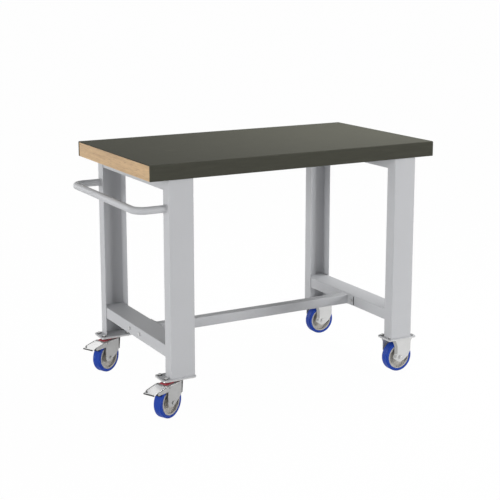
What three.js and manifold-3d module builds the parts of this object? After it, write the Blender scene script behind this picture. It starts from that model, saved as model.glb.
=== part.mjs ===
// Mobile assembly table: a covered wooden worktop on two welded end frames of folded steel,
// a bolted stretcher between them, a push handle at the left end, two braked swivel castors
// under the handle and two fixed castors at the other end.
// Millimetres, +Z up, +X from the handle end to the far end, +Y from the front to the back.
// The origin is on the floor, under the middle of the worktop.
import * as THREE from 'three';
import { mergeVertices } from 'three/addons/utils/BufferGeometryUtils.js';
import Module from 'manifold-3d';

const wasm = await Module();
wasm.setup();

// Worktop
const worktopLength = 1250;
const worktopDepth = 700;
const worktopThickness = 60;
const worktopHeight = 960;
const coverTop = 4;
const coverEdge = 9;
const coverTopRadius = 8;
const coverBottomRadius = 4;

// End frames
const legWidth = 100;
const legFlange = 50;
const legWall = 2.5;
const legBend = 4;
const legOverhang = 77;
const legInset = 12;
const topRailHeight = 45;
const crossbarHeight = 45;
const crossbarLift = 72;
const railWall = 2.5;

// Stretcher and its bolted end plates
const stretcherSize = 40;
const stretcherWall = 2;
const stretcherCorner = 3;
const endPlateHeight = 42;
const endPlateThickness = 4;
const endPlateMargin = 11;
const stretcherBoltSpacing = 96;
const stretcherBoltRadius = 4;
const stretcherNutHeight = 6.5;

// Push handle
const handleDiameter = 28;
const handleReach = 117;
const handleDrop = 109;
const handleBend = 55;

// Castor plates and the foot plates above them
const footPlateThickness = 4;
const castorPlateThickness = 4;
const castorPlateLength = 135;
const castorPlateWidth = 85;
const plateCorner = 8;
const plateHoleRadius = 4.25;
const plateHoleMarginX = 15;
const plateHoleMarginY = 12.5;
const castorInset = 38;
const swivelShift = 14;
const fixedShift = 6;

// Wheels
const wheelDiameter = 125;
const treadWidth = 36;
const treadShoulder = 5;
const tyreThickness = 12;
const rimThickness = 6;
const webThickness = 12;
const hubBossRadius = 19;
const hubEndPlay = 1.5;
const sleeveRadius = 8;
const axleRadius = 4;
const axleNutHeight = 7;
const axleEnd = 2;

// Castor brackets
const bracketSheet = 3;
const wheelSideGap = 7;
const crownGap = 6;
const raceHeight = 8;
const raceRadius = 20;
const sealThickness = 2.5;
const kingpinRadius = 7;
const kingpinHeadRadius = 13;
const kingpinHeadHeight = 6;
const trail = 50;
const restTurn = 26;
const crownReach = 28;
const forkBossRadius = 12;
const forkBossTurn = 324;
const cheekBend = 12;
const cheekBendLift = 8;
const rearWallDepth = 46;
const fixedBossRadius = 22;
const fixedBossTurn = 300;
const fixedFlare = 64;
const fixedFlareDrop = 22;
const fixedFlareBend = 10;
const fixedToe = 24;
const fixedToeFlare = 41;
const fixedToeDrop = 34;
const fixedToeBend = 16;
const fixedHeel = 51;
const fixedHeelLift = 23;
const sealSetback = 4;
const sealTongue = 18;
const sealNeck = 40;
const sealRing = 23;
const sealRingTurn = 150;

// Brake
const pedalSheet = 2.5;
const pedalPinRadius = 2.5;
const pedalPinAhead = 20;
const pedalPinHead = 4.5;
const pedalLength = 88;
const pedalSlope = 9;
const pedalLip = 8;
const pedalRootGap = 4;
const pedalSkirtRoot = 21;
const pedalSkirtTip = 9.5;
const pedalSkirtEnd = 18;
const pedalHeel = 6.75;
const brakeShoeGap = 7.7;
const brakeShoeWidth = 28;
const brakeShoeFront = 148;
const brakeShoeBack = 125;
const brakeShoeSteps = 3;

// Fits: seam is left between pieces that are welded, glued or bolted face to face
const seam = 0.3;
const runningGap = 0.4;

const radians = THREE.MathUtils.degToRad;

// Hexagon heads follow the bolt's radius
const hexPerRadius = 1.88;
const headPerRadius = 1.3;
const hexRadius = (boltRadius) => boltRadius * hexPerRadius;
const headHeight = (boltRadius) => boltRadius * headPerRadius;

// Facets on round pieces
const wheelFacets = 32;
const pinFacets = 12;
const cornerFacets = 2;
const handleSteps = 36;

// Heights that follow from the stack of wheel, bracket and plates
const axleHeight = wheelDiameter / 2;
const crownUnder = wheelDiameter + crownGap;
const crownTop = crownUnder + bracketSheet;
const castorPlateUnder = crownTop + raceHeight;
const castorPlateTop = castorPlateUnder + castorPlateThickness;
const legFoot = castorPlateTop + footPlateThickness;
const worktopUnder = worktopHeight - worktopThickness;
const legLength = worktopUnder - legFoot;

// Places in plan
const legOuter = worktopLength / 2 - legOverhang;
const legMiddle = legOuter - legWidth / 2;
const legFace = worktopDepth / 2 - legInset;
const castorY = legFace - castorInset;
const railWidth = legWidth - 2 * (legWall + seam);
const railLength = 2 * (legFace - legBend - seam);
const railInner = legMiddle - railWidth / 2;
const crossbarMiddle = legFoot + crossbarLift + crossbarHeight / 2;
const handleMiddle = legOuter + handleReach;

// Bracket widths that follow from the tread
const forkInner = treadWidth / 2 + wheelSideGap;
const forkOuter = forkInner + bracketSheet;
const hubHalfWidth = forkInner - hubEndPlay;
const pedalInner = forkOuter + runningGap;
const pedalOuter = pedalInner + pedalSheet;
const crownFront = -trail - crownReach;
const pinX = -trail - pedalPinAhead;
const pinHeight = crownUnder - pedalPinRadius - runningGap;

const paint = (color, roughness, metalness) =>
  new THREE.MeshStandardMaterial({ color, roughness, metalness, flatShading: true });
const finish = {
  cover: () => paint(0x4c4b43, 0.6, 0),
  wood: () => paint(0xc09f7a, 0.65, 0),
  steel: () => paint(0xc4c5c4, 0.45, 0.1),
  zinc: () => paint(0xb9bab8, 0.35, 0.8),
  tyre: () => paint(0x2a4fae, 0.55, 0),
  hub: () => paint(0xa19d94, 0.6, 0),
  seal: () => paint(0xa8323f, 0.5, 0),
  shoe: () => paint(0x2b2b2b, 0.8, 0),
};

// A geometry with its shared vertices merged, ready to be closed, cut or joined
function merged(geometry) {
  geometry.deleteAttribute('normal');
  geometry.deleteAttribute('uv');
  return mergeVertices(geometry);
}

function toSolid(geometry) {
  const source = merged(geometry);
  return new wasm.Manifold(new wasm.Mesh({
    numProp: 3,
    vertProperties: new Float32Array(source.attributes.position.array),
    triVerts: new Uint32Array(source.index.array),
  }));
}

function toGeometry(solid) {
  const mesh = solid.getMesh();
  const geometry = new THREE.BufferGeometry();
  geometry.setAttribute('position', new THREE.BufferAttribute(mesh.vertProperties, mesh.numProp));
  geometry.setIndex(new THREE.BufferAttribute(mesh.triVerts, 1));
  return geometry;
}

function joined(...geometries) {
  const [first, ...rest] = geometries.map(toSolid);
  return toGeometry(rest.reduce((body, piece) => body.add(piece), first));
}

function drilled(geometry, drills) {
  return toGeometry(drills.map(toSolid).reduce((body, drill) => body.subtract(drill), toSolid(geometry)));
}

function addMesh(group, name, geometry, material, place = [0, 0, 0]) {
  const mesh = new THREE.Mesh(merged(geometry), material);
  mesh.name = name;
  mesh.position.set(...place);
  group.add(mesh);
  return mesh;
}

// Extrusions of an outline: upwards from XY, along X from (Y, Z), and along Y from (X, Z)
function extrudeUp(shape, height, base = 0) {
  const geometry = new THREE.ExtrudeGeometry(shape, {
    depth: height, bevelEnabled: false, curveSegments: cornerFacets,
  });
  return geometry.translate(0, 0, base);
}

function extrudeAlongX(shape, length, start) {
  const geometry = extrudeUp(shape, length);
  return geometry.rotateX(Math.PI / 2).rotateZ(Math.PI / 2).translate(start, 0, 0);
}

function extrudeAlongY(shape, length, start) {
  return extrudeUp(shape, length).rotateX(Math.PI / 2).translate(0, start + length, 0);
}

// A pin along Y, or a turned piece about Z: the flats of the facets lie on the stated radius
function turned(profile, facets) {
  const swell = 1 / Math.cos(Math.PI / facets);
  const points = profile.map(([radius, along]) => new THREE.Vector2(radius * swell, along));
  return new THREE.LatheGeometry(points, facets, Math.PI / facets);
}

function turnedAboutZ(profile, facets) {
  return turned(profile, facets).rotateX(Math.PI / 2);
}

function rodAlongY(radius, start, end) {
  return turned([[0, start], [radius, start], [radius, end], [0, end]], pinFacets);
}

function hexAlongY(radius, start, end) {
  const geometry = new THREE.CylinderGeometry(radius, radius, end - start, 6);
  return geometry.translate(0, (start + end) / 2, 0);
}

function rodAlongX(radius, start, end, y, z) {
  return rodAlongY(radius, start, end).rotateZ(-Math.PI / 2).translate(0, y, z);
}

// A bolt along +Y with its nut run on: the nut bears on nutFace, and the head on headStart
function boltAlongY(radius, nutFace, headStart, nutHeight) {
  return joined(
    hexAlongY(hexRadius(radius), headStart, headStart + headHeight(radius)),
    rodAlongY(radius, nutFace - nutHeight - radius, headStart + headHeight(radius) / 2),
    hexAlongY(hexRadius(radius), nutFace - nutHeight, nutFace));
}

function roundOutline(radius) {
  const shape = new THREE.Shape();
  shape.setFromPoints(roundHole(0, 0, radius).getPoints());
  return shape;
}

function roundHole(x, y, radius) {
  const hole = new THREE.Path();
  const swell = radius / Math.cos(Math.PI / pinFacets);
  for (let i = 0; i < pinFacets; i += 1) {
    const angle = (2 * Math.PI * (i + 0.5)) / pinFacets;
    const point = [x + swell * Math.cos(angle), y + swell * Math.sin(angle)];
    if (i === 0) hole.moveTo(...point);
    else hole.lineTo(...point);
  }
  hole.closePath();
  return hole;
}

// A rectangle about the middle, with its four corners rounded
function roundedRectangle(width, height, radius) {
  const shape = new THREE.Shape();
  const x = width / 2 - radius;
  const y = height / 2 - radius;
  shape.absarc(x, y, radius, 0, Math.PI / 2);
  shape.absarc(-x, y, radius, Math.PI / 2, Math.PI);
  shape.absarc(-x, -y, radius, Math.PI, 1.5 * Math.PI);
  shape.absarc(x, -y, radius, 1.5 * Math.PI, 2 * Math.PI);
  shape.closePath();
  return shape;
}

// A folded channel that opens downwards: its back is at y = 0 and its flanges hang from it
function channel(width, flange, wall, bend) {
  const half = width / 2;
  const innerBend = bend - wall;
  const shape = new THREE.Shape();
  shape.moveTo(-half, -flange);
  shape.lineTo(-half, -bend);
  shape.absarc(-half + bend, -bend, bend, Math.PI, Math.PI / 2, true);
  shape.absarc(half - bend, -bend, bend, Math.PI / 2, 0, true);
  shape.lineTo(half, -flange);
  shape.lineTo(half - wall, -flange);
  shape.absarc(half - bend, -bend, innerBend, 0, Math.PI / 2);
  shape.absarc(-half + bend, -bend, innerBend, Math.PI / 2, Math.PI);
  shape.lineTo(-half + wall, -flange);
  shape.closePath();
  return shape;
}

function plateOutline(extraHoles = []) {
  const shape = roundedRectangle(castorPlateLength, castorPlateWidth, plateCorner);
  const x = castorPlateLength / 2 - plateHoleMarginX;
  const y = castorPlateWidth / 2 - plateHoleMarginY;
  for (const [signX, signY] of [[-1, -1], [1, -1], [1, 1], [-1, 1]]) {
    shape.holes.push(roundHole(signX * x, signY * y, plateHoleRadius));
  }
  shape.holes.push(...extraHoles);
  return shape;
}

// The worktop: a wooden core, bare at both ends, with a cover folded over its long edges
function addWorktop(group) {
  const coreDepth = worktopDepth - 2 * (coverEdge + seam);
  const coreThickness = worktopThickness - coverTop - seam;
  const core = new THREE.BoxGeometry(worktopLength, coreDepth, coreThickness);
  addMesh(group, 'worktop_core', core, finish.wood(), [0, 0, worktopUnder + coreThickness / 2]);

  const half = worktopDepth / 2;
  const inner = half - coverEdge;
  const top = worktopThickness;
  const outline = new THREE.Shape();
  outline.moveTo(-inner, 0);
  outline.lineTo(-half + coverBottomRadius, 0);
  outline.absarc(-half + coverBottomRadius, coverBottomRadius, coverBottomRadius,
    1.5 * Math.PI, Math.PI, true);
  outline.absarc(-half + coverTopRadius, top - coverTopRadius, coverTopRadius,
    Math.PI, Math.PI / 2, true);
  outline.absarc(half - coverTopRadius, top - coverTopRadius, coverTopRadius,
    Math.PI / 2, 0, true);
  outline.absarc(half - coverBottomRadius, coverBottomRadius, coverBottomRadius,
    0, -Math.PI / 2, true);
  outline.lineTo(inner, 0);
  outline.lineTo(inner, top - coverTop);
  outline.lineTo(-inner, top - coverTop);
  outline.closePath();
  const cover = extrudeAlongX(outline, worktopLength, -worktopLength / 2);
  addMesh(group, 'worktop_cover', cover, finish.cover(), [0, 0, worktopUnder]);
}

// An end frame: two channel legs with their webs outwards, a top rail and a crossbar.
// Both rails are channels that open downwards, and the crossbar is drilled for the stretcher bolts.
function addEndFrame(group, side, endName) {
  for (const [facing, rowName] of [[-1, 'front'], [1, 'rear']]) {
    const leg = extrudeUp(channel(legWidth, legFlange, legWall, legBend), legLength);
    if (facing < 0) leg.rotateZ(Math.PI);
    addMesh(group, `leg_${rowName}_${endName}`, leg, finish.steel(),
      [side * legMiddle, facing * legFace, legFoot]);
  }
  const topRail = extrudeAlongY(
    channel(railWidth, topRailHeight, railWall, legBend), railLength, -railLength / 2);
  addMesh(group, `top_rail_${endName}`, topRail, finish.steel(),
    [side * legMiddle, 0, worktopUnder - seam]);

  const crossbar = extrudeAlongY(
    channel(railWidth, crossbarHeight, railWall, legBend), railLength, -railLength / 2);
  const drills = [-1, 1].map((bolt) => rodAlongX(
    stretcherBoltRadius + runningGap, -railWidth, railWidth,
    bolt * stretcherBoltSpacing / 2, -crossbarHeight / 2));
  addMesh(group, `crossbar_${endName}`, drilled(crossbar, drills), finish.steel(),
    [side * legMiddle, 0, crossbarMiddle + crossbarHeight / 2]);
}

// The stretcher tube, its end plates, and the long bolts that pass through each crossbar
function addStretcher(group) {
  const plateX = railInner - seam;
  const tubeHalf = plateX - endPlateThickness - seam;
  const section = roundedRectangle(stretcherSize, stretcherSize, stretcherCorner);
  const bore = stretcherSize - 2 * stretcherWall;
  section.holes.push(roundedRectangle(bore, bore, stretcherCorner - stretcherWall));
  const tube = extrudeAlongX(section, 2 * tubeHalf, -tubeHalf);
  addMesh(group, 'stretcher', tube, finish.steel(), [0, 0, crossbarMiddle]);

  const plateWidth = stretcherBoltSpacing + 2 * endPlateMargin;
  const headX = railInner + railWidth + seam;
  const nutX = tubeHalf;
  for (const [side, endName] of [[-1, 'left'], [1, 'right']]) {
    const outline = roundedRectangle(plateWidth, endPlateHeight, endPlateThickness);
    for (const bolt of [-1, 1]) {
      const holeY = bolt * stretcherBoltSpacing / 2;
      outline.holes.push(roundHole(holeY, 0, stretcherBoltRadius + runningGap));
    }
    const start = side < 0 ? -plateX : plateX - endPlateThickness;
    const plate = extrudeAlongX(outline, endPlateThickness, start);
    addMesh(group, `stretcher_plate_${endName}`, plate, finish.steel(), [0, 0, crossbarMiddle]);

    for (const [bolt, rowName] of [[-1, 'front'], [1, 'rear']]) {
      const geometry = boltAlongY(stretcherBoltRadius, nutX, headX, stretcherNutHeight);
      geometry.rotateZ(-side * Math.PI / 2);
      addMesh(group, `stretcher_bolt_${rowName}_${endName}`, geometry, finish.zinc(),
        [0, bolt * stretcherBoltSpacing / 2, crossbarMiddle]);
    }
  }
}

// The push handle: one round tube bent into a U, its ends welded to the left legs' flanges
function addHandle(group) {
  const endY = legFace - legFlange / 2;
  const startX = -legOuter - seam;
  const middleX = -handleMiddle;
  const path = new THREE.CurvePath();
  const corner = (y, fromX, fromY, toX, toY) => new THREE.QuadraticBezierCurve3(
    new THREE.Vector3(fromX, fromY, 0), new THREE.Vector3(middleX, y, 0),
    new THREE.Vector3(toX, toY, 0));
  const line = (fromX, fromY, toX, toY) => new THREE.LineCurve3(
    new THREE.Vector3(fromX, fromY, 0), new THREE.Vector3(toX, toY, 0));
  path.add(line(startX, -endY, middleX + handleBend, -endY));
  path.add(corner(-endY, middleX + handleBend, -endY, middleX, -endY + handleBend));
  path.add(line(middleX, -endY + handleBend, middleX, endY - handleBend));
  path.add(corner(endY, middleX, endY - handleBend, middleX + handleBend, endY));
  path.add(line(middleX + handleBend, endY, startX, endY));
  const tube = new THREE.ExtrudeGeometry(roundOutline(handleDiameter / 2), {
    steps: handleSteps, bevelEnabled: false, extrudePath: path,
  });
  addMesh(group, 'push_handle', tube, finish.steel(), [0, 0, worktopUnder - handleDrop]);
}

// A wheel about Y: a blue tyre on a hub with a thin web, turning on a plain sleeve
function addWheel(group, suffix) {
  const half = treadWidth / 2;
  const rim = wheelDiameter / 2 - tyreThickness;
  const tread = wheelDiameter / 2;
  const tyre = turned([
    [rim, -half], [tread - treadShoulder, -half], [tread, -half + treadShoulder],
    [tread, half - treadShoulder], [tread - treadShoulder, half], [rim, half], [rim, -half],
  ], wheelFacets);
  addMesh(group, `tyre_${suffix}`, tyre, finish.tyre());

  const rimOuter = rim - seam;
  const rimInner = rimOuter - rimThickness;
  const bore = sleeveRadius + runningGap;
  const web = webThickness / 2;
  const hub = turned([
    [bore, -hubHalfWidth], [hubBossRadius, -hubHalfWidth], [hubBossRadius, -web],
    [rimInner, -web], [rimInner, -half], [rimOuter, -half], [rimOuter, half],
    [rimInner, half], [rimInner, web], [hubBossRadius, web],
    [hubBossRadius, hubHalfWidth], [bore, hubHalfWidth], [bore, -hubHalfWidth],
  ], wheelFacets);
  addMesh(group, `wheel_hub_${suffix}`, hub, finish.hub());

  const sleeveHalf = forkInner - seam;
  const sleeveBore = axleRadius + runningGap;
  const sleeve = turned([
    [sleeveBore, -sleeveHalf], [sleeveRadius, -sleeveHalf], [sleeveRadius, sleeveHalf],
    [sleeveBore, sleeveHalf], [sleeveBore, -sleeveHalf],
  ], pinFacets);
  addMesh(group, `axle_sleeve_${suffix}`, sleeve, finish.zinc());

  const outside = forkOuter + seam;
  const bolt = joined(
    hexAlongY(hexRadius(axleRadius), -outside - headHeight(axleRadius), -outside),
    rodAlongY(axleRadius, -outside - headHeight(axleRadius) / 2, outside + axleNutHeight + axleEnd));
  addMesh(group, `axle_bolt_${suffix}`, bolt, finish.zinc());
  const nut = new THREE.Shape();
  for (let i = 0; i < 6; i += 1) {
    const angle = (i * Math.PI) / 3;
    const point = [hexRadius(axleRadius) * Math.cos(angle), hexRadius(axleRadius) * Math.sin(angle)];
    if (i === 0) nut.moveTo(...point);
    else nut.lineTo(...point);
  }
  nut.holes.push(roundHole(0, 0, axleRadius + seam));
  addMesh(group, `axle_nut_${suffix}`, extrudeAlongY(nut, axleNutHeight, outside), finish.zinc());
}

// Points of a round stretch about the origin, added to an outline
function lineRound(outline, radius, from, to) {
  for (let i = 0; i <= pinFacets; i += 1) {
    const angle = from + ((to - from) * i) / pinFacets;
    outline.lineTo(radius * Math.cos(angle), radius * Math.sin(angle));
  }
}

// A cheek of the swivel fork: upright in front, hollow behind, and rounded under the axle
function forkCheek() {
  const outline = new THREE.Shape();
  outline.moveTo(crownFront, crownTop);
  outline.lineTo(crownFront, axleHeight);
  outline.absarc(crownFront + forkBossRadius, axleHeight, forkBossRadius, Math.PI, 1.5 * Math.PI);
  outline.absarc(-trail, axleHeight, forkBossRadius, 1.5 * Math.PI, radians(forkBossTurn));
  outline.quadraticCurveTo(-cheekBend, axleHeight + cheekBendLift, 0, crownTop - rearWallDepth);
  outline.lineTo(0, crownTop);
  outline.closePath();
  outline.holes.push(roundHole(-trail, axleHeight, axleRadius + runningGap));
  outline.holes.push(roundHole(pinX, pinHeight, pedalPinRadius + runningGap));
  return outline;
}

function crownOutline() {
  const outline = new THREE.Shape();
  outline.moveTo(crownFront, -forkOuter);
  lineRound(outline, forkOuter, -Math.PI / 2, Math.PI / 2);
  outline.lineTo(crownFront, forkOuter);
  outline.closePath();
  outline.holes.push(roundHole(0, 0, kingpinRadius + runningGap));
  return outline;
}

// The half-round wall that closes the fork behind the kingpin, seen from above
function rearWallOutline() {
  const outline = new THREE.Shape();
  outline.moveTo(-bracketSheet, -forkOuter);
  lineRound(outline, forkOuter, -Math.PI / 2, Math.PI / 2);
  outline.lineTo(-bracketSheet, forkOuter);
  outline.lineTo(-bracketSheet, forkInner);
  lineRound(outline, forkInner, Math.PI / 2, -Math.PI / 2);
  outline.lineTo(-bracketSheet, -forkInner);
  outline.closePath();
  return outline;
}

// The red seal: a ring round the race with a tongue over the front of the crown
function sealOutline() {
  const outline = new THREE.Shape();
  const turn = radians(sealRingTurn);
  outline.moveTo(crownFront + sealSetback, -sealTongue);
  outline.lineTo(-sealNeck, -sealTongue);
  lineRound(outline, sealRing, -turn, turn);
  outline.lineTo(-sealNeck, sealTongue);
  outline.lineTo(crownFront + sealSetback, sealTongue);
  outline.closePath();
  outline.holes.push(roundHole(0, 0, raceRadius + runningGap));
  return outline;
}

function addFork(group, suffix) {
  const cheek = forkCheek();
  const fork = joined(
    extrudeUp(crownOutline(), bracketSheet, crownUnder),
    extrudeUp(rearWallOutline(), rearWallDepth, crownTop - rearWallDepth),
    extrudeAlongY(cheek, bracketSheet, -forkOuter),
    extrudeAlongY(cheek, bracketSheet, forkInner));
  addMesh(group, `fork_${suffix}`, fork, finish.zinc());
  const seal = extrudeUp(sealOutline(), sealThickness, crownTop + seam);
  addMesh(group, `dust_seal_${suffix}`, seal, finish.seal());
}

// The brake: a stepped-on channel on a cross pin, with a shoe over the tyre
function addBrake(group, suffix) {
  const slope = radians(pedalSlope);
  const rootX = crownFront - seam - pedalRootGap;
  const tipX = pinX - pedalLength;
  const topAt = (x) => crownTop - (rootX - x) * Math.tan(slope);
  const profile = (points) => {
    const outline = new THREE.Shape();
    outline.moveTo(...points[0]);
    points.slice(1).forEach((point) => outline.lineTo(...point));
    outline.closePath();
    return outline;
  };
  const deck = profile([
    [rootX, topAt(rootX)], [tipX, topAt(tipX)], [tipX, topAt(tipX) - pedalLip],
    [tipX + pedalSheet, topAt(tipX) - pedalLip], [tipX + pedalSheet, topAt(tipX) - pedalSheet],
    [rootX, topAt(rootX) - pedalSheet],
  ]);
  const heelX = pinX + pedalHeel;
  const skirtX = tipX + pedalSkirtEnd;
  const skirt = profile([
    [heelX, pinHeight + pedalPinHead], [pinX, crownTop], [rootX, topAt(rootX)], [skirtX, topAt(skirtX)],
    [skirtX, topAt(skirtX) - pedalSkirtTip], [rootX, topAt(rootX) - pedalSkirtRoot],
    [heelX, pinHeight - pedalPinHead],
  ]);
  skirt.holes.push(roundHole(pinX, pinHeight, pedalPinRadius + runningGap));
  const pedal = joined(
    extrudeAlongY(deck, 2 * pedalOuter, -pedalOuter),
    extrudeAlongY(skirt, pedalSheet, -pedalOuter),
    extrudeAlongY(skirt, pedalSheet, pedalInner));
  addMesh(group, `brake_pedal_${suffix}`, pedal, finish.zinc());

  const reach = wheelDiameter / 2 + brakeShoeGap;
  const arc = [];
  for (let i = 0; i <= brakeShoeSteps; i += 1) {
    const angle = radians(brakeShoeFront + (brakeShoeBack - brakeShoeFront) * i / brakeShoeSteps);
    arc.push([-trail + reach * Math.cos(angle), axleHeight + reach * Math.sin(angle)]);
  }
  const underDeck = ([x]) => [x, topAt(x) - pedalSheet - seam];
  const shoe = profile([...arc, underDeck(arc[brakeShoeSteps]), underDeck(arc[0])]);
  addMesh(group, `brake_shoe_${suffix}`,
    extrudeAlongY(shoe, brakeShoeWidth, -brakeShoeWidth / 2), finish.shoe());

  const head = pedalOuter + runningGap;
  const end = head + pedalPinHead / 2;
  const pin = turned([
    [0, -end], [pedalPinHead, -end], [pedalPinHead, -head], [pedalPinRadius, -head],
    [pedalPinRadius, head], [pedalPinHead, head], [pedalPinHead, end], [0, end],
  ], pinFacets);
  addMesh(group, `pedal_pin_${suffix}`, pin, finish.zinc(), [pinX, 0, pinHeight]);
}

// A swivel castor: the plate, race and kingpin stay, the fork group is turned to its resting angle
function addSwivelCastor(group, rowName, y) {
  const suffix = `${rowName}_left`;
  const castor = new THREE.Group();
  castor.position.set(-legMiddle - swivelShift, y, 0);
  group.add(castor);
  const kingpinHole = roundHole(0, 0, kingpinRadius + runningGap);
  addMesh(castor, `castor_plate_${suffix}`,
    extrudeUp(plateOutline([kingpinHole]), castorPlateThickness - seam, castorPlateUnder), finish.zinc());
  const raceBore = kingpinRadius + runningGap;
  const race = turnedAboutZ([
    [raceBore, crownTop + seam], [raceRadius, crownTop + seam], [raceRadius, castorPlateUnder - seam],
    [raceBore, castorPlateUnder - seam], [raceBore, crownTop + seam],
  ], wheelFacets);
  addMesh(castor, `swivel_race_${suffix}`, race, finish.zinc());
  const headTop = crownUnder - runningGap;
  const kingpin = turnedAboutZ([
    [0, headTop - kingpinHeadHeight], [kingpinHeadRadius, headTop - kingpinHeadHeight],
    [kingpinHeadRadius, headTop], [kingpinRadius, headTop],
    [kingpinRadius, castorPlateTop - seam], [0, castorPlateTop - seam],
  ], pinFacets);
  addMesh(castor, `kingpin_${suffix}`, kingpin, finish.zinc());

  const turning = new THREE.Group();
  turning.rotation.z = radians(restTurn);
  castor.add(turning);
  addFork(turning, suffix);
  addBrake(turning, suffix);
  const wheel = new THREE.Group();
  wheel.position.set(-trail, 0, axleHeight);
  turning.add(wheel);
  addWheel(wheel, suffix);
}

// A fixed castor: a plate with two like cheeks, the far one turned half round about the vertical
function addFixedCastor(group, rowName, y) {
  const suffix = `${rowName}_right`;
  const castor = new THREE.Group();
  castor.position.set(legMiddle + fixedShift, y, 0);
  group.add(castor);
  const plate = extrudeUp(plateOutline(), castorPlateThickness - seam, castorPlateUnder);
  const outline = new THREE.Shape();
  const cheekTop = castorPlateUnder + castorPlateThickness / 2;
  outline.moveTo(-fixedToeFlare, cheekTop);
  outline.quadraticCurveTo(
    -fixedToe, castorPlateUnder - fixedToeBend, -fixedToe, castorPlateUnder - fixedToeDrop);
  outline.lineTo(-fixedToe, axleHeight);
  outline.absarc(0, axleHeight, fixedBossRadius, Math.PI, radians(fixedBossTurn));
  outline.lineTo(fixedHeel, axleHeight + fixedHeelLift);
  outline.lineTo(fixedHeel, castorPlateUnder - fixedFlareDrop);
  outline.quadraticCurveTo(fixedHeel, castorPlateUnder - fixedFlareBend, fixedFlare, cheekTop);
  outline.closePath();
  outline.holes.push(roundHole(0, axleHeight, axleRadius + runningGap));
  const nearCheek = extrudeAlongY(outline, bracketSheet, -forkOuter);
  const farCheek = extrudeAlongY(outline, bracketSheet, -forkOuter).rotateZ(Math.PI);
  addMesh(castor, `fixed_bracket_${suffix}`, joined(plate, nearCheek, farCheek), finish.zinc());
  const wheel = new THREE.Group();
  wheel.position.set(0, 0, axleHeight);
  castor.add(wheel);
  addWheel(wheel, suffix);
}

// The foot plate that is welded under a leg and bolted to the castor's plate
function addFootPlate(group, rowName, endName, x, y) {
  addMesh(group, `foot_plate_${rowName}_${endName}`,
    extrudeUp(plateOutline(), footPlateThickness - seam, castorPlateTop), finish.steel(), [x, y, 0]);
}

const table = new THREE.Group();
addWorktop(table);
addEndFrame(table, -1, 'left');
addEndFrame(table, 1, 'right');
addStretcher(table);
addHandle(table);
for (const [facing, rowName] of [[-1, 'front'], [1, 'rear']]) {
  const y = facing * castorY;
  addFootPlate(table, rowName, 'left', -legMiddle - swivelShift, y);
  addFootPlate(table, rowName, 'right', legMiddle + fixedShift, y);
  addSwivelCastor(table, rowName, y);
  addFixedCastor(table, rowName, y);
}

export default table;
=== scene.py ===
import math
import bpy
from mathutils import Matrix, Vector


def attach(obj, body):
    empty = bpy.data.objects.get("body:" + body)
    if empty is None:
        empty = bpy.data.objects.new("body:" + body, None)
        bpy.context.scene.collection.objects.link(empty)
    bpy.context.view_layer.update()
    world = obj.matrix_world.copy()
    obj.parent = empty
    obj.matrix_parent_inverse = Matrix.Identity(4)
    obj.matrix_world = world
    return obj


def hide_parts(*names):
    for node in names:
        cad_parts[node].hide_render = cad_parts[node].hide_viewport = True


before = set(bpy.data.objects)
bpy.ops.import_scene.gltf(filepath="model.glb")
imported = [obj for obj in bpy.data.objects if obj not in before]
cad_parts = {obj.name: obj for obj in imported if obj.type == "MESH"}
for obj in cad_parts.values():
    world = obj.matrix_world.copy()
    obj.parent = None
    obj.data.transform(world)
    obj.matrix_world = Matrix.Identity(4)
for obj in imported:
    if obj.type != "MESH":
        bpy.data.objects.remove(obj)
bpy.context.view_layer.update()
mm = 0.001
mergeGap = 0.02  # corners nearer than this become one
samePoint = 0.01  # ends nearer than this belong to the same edge
pole = 0.001  # where a spun profile meets its axis
slack = 0.1  # room in a test of place
squareOn = 0.9  # the part of a normal along a direction that it faces
tilted = 0.6  # the same for a face that only leans that way
rows = ((-1, "front"), (1, "rear"))
ends = ((-1, "left"), (1, "right"))
print("frame loaded,", len(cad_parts), "nodes")

# Helpers for modelling by hand, in mm


def leaveEdit():
    bpy.ops.object.mode_set(mode="OBJECT")


def editAll():
    bpy.ops.object.mode_set(mode="EDIT")
    bpy.ops.mesh.select_all(action="SELECT")


def clearSelection():
    if bpy.context.object and bpy.context.object.mode != "OBJECT":
        leaveEdit()
    bpy.ops.object.select_all(action="DESELECT")


def makeActive(piece):
    clearSelection()
    piece.select_set(True)
    bpy.context.view_layer.objects.active = piece


def startBox(name, low, high):
    clearSelection()
    bpy.ops.mesh.primitive_cube_add(size=mm)
    piece = bpy.context.object
    piece.name = name
    piece.scale = [b - a for a, b in zip(low, high)]
    piece.location = [(a + b) / 2 * mm for a, b in zip(low, high)]
    bpy.ops.object.transform_apply(location=True, rotation=True, scale=True)
    return piece


def startOutline(name, points, filled=True):
    # a ring or face with one corner for each point
    clearSelection()
    fill = "NGON" if filled else "NOTHING"
    bpy.ops.mesh.primitive_circle_add(vertices=len(points), fill_type=fill)
    piece = bpy.context.object
    piece.name = name
    for corner, point in zip(piece.data.vertices, points):
        corner.co = Vector(point) * mm
    return piece


def selectParts(piece, kind, test):
    # test gets a face's middle and normal, or an edge's two ends
    makeActive(piece)
    bpy.ops.object.mode_set(mode="EDIT")
    bpy.ops.mesh.select_mode(type=kind)
    bpy.ops.mesh.select_all(action="DESELECT")
    leaveEdit()
    mesh = piece.data
    if kind == "FACE":
        for face in mesh.polygons:
            face.select = bool(test(face.center / mm, face.normal))
    else:
        for edge in mesh.edges:
            a, b = (mesh.vertices[i].co / mm for i in edge.vertices)
            edge.select = bool(test(a, b))
    bpy.ops.object.mode_set(mode="EDIT")


def applyModifier(piece, kind, **values):
    makeActive(piece)
    modifier = piece.modifiers.new(kind.lower(), kind)
    for key, value in values.items():
        setattr(modifier, key, value)
    bpy.ops.object.modifier_apply(modifier=modifier.name)


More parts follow.
